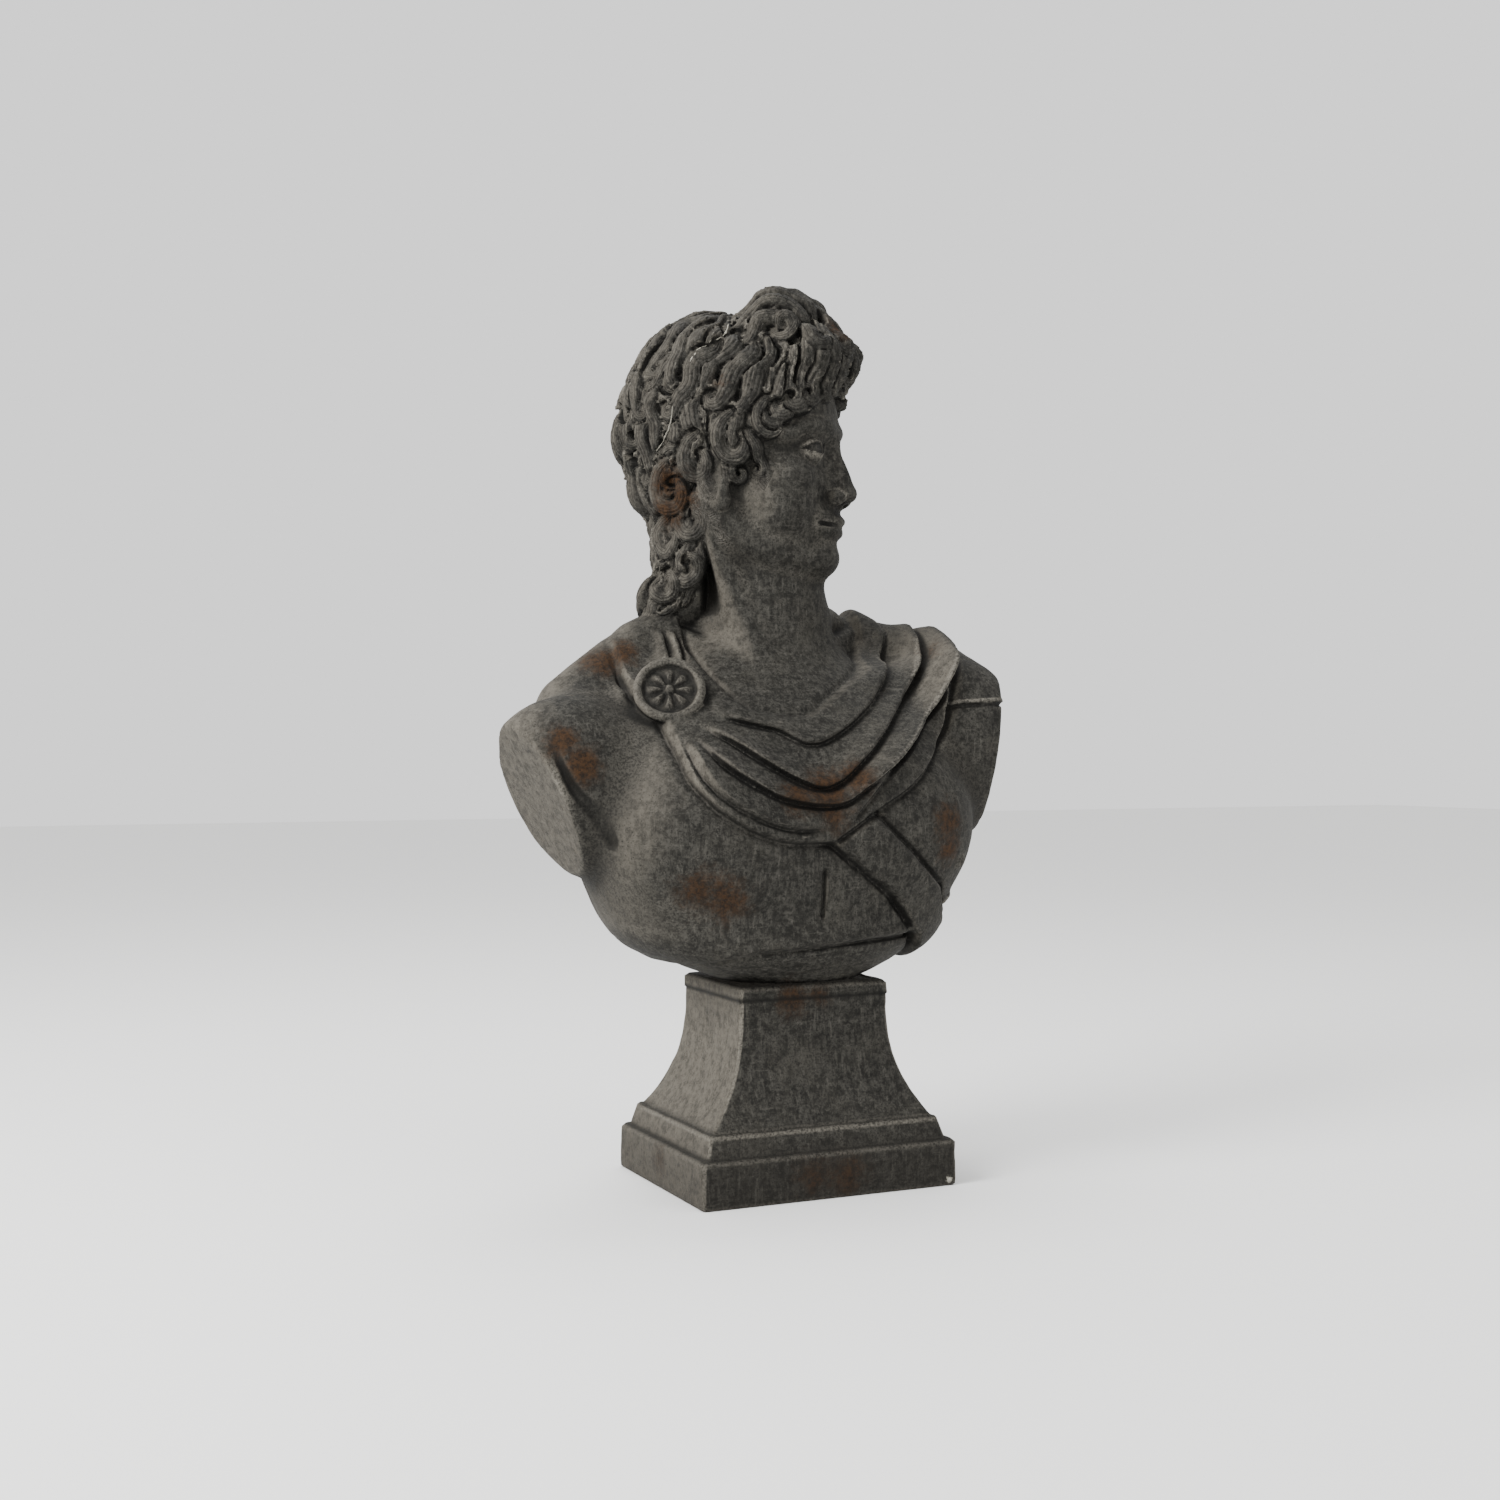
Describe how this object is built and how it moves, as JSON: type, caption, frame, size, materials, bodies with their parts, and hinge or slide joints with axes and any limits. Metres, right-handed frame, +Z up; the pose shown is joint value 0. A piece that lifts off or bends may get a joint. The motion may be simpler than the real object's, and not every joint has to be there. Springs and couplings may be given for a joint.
{
  "type": "fiberglass bust",
  "caption": "Classical bust of a long-haired youth, head turned, in a cloak pinned at one shoulder, arms cut short, on a moulded rectangular plinth with hollow-curved sides.",
  "frame": {"origin": "centre of the plinth's underside, on the surface that the bust stands on", "axes": "+Z up, -Y out of the chest and the plinth's wide front face, +X to the figure's left"},
  "size_m": [0.4962, 0.296, 0.8335],
  "materials": {
    "weathered_resin": "matte, pitted dark grey paint over fiberglass, with rust-brown stains and pale dust on the raised parts"
  },
  "bodies": {
    "root": {"classical_bust": "weathered_resin"}
  },
  "joints": []
}
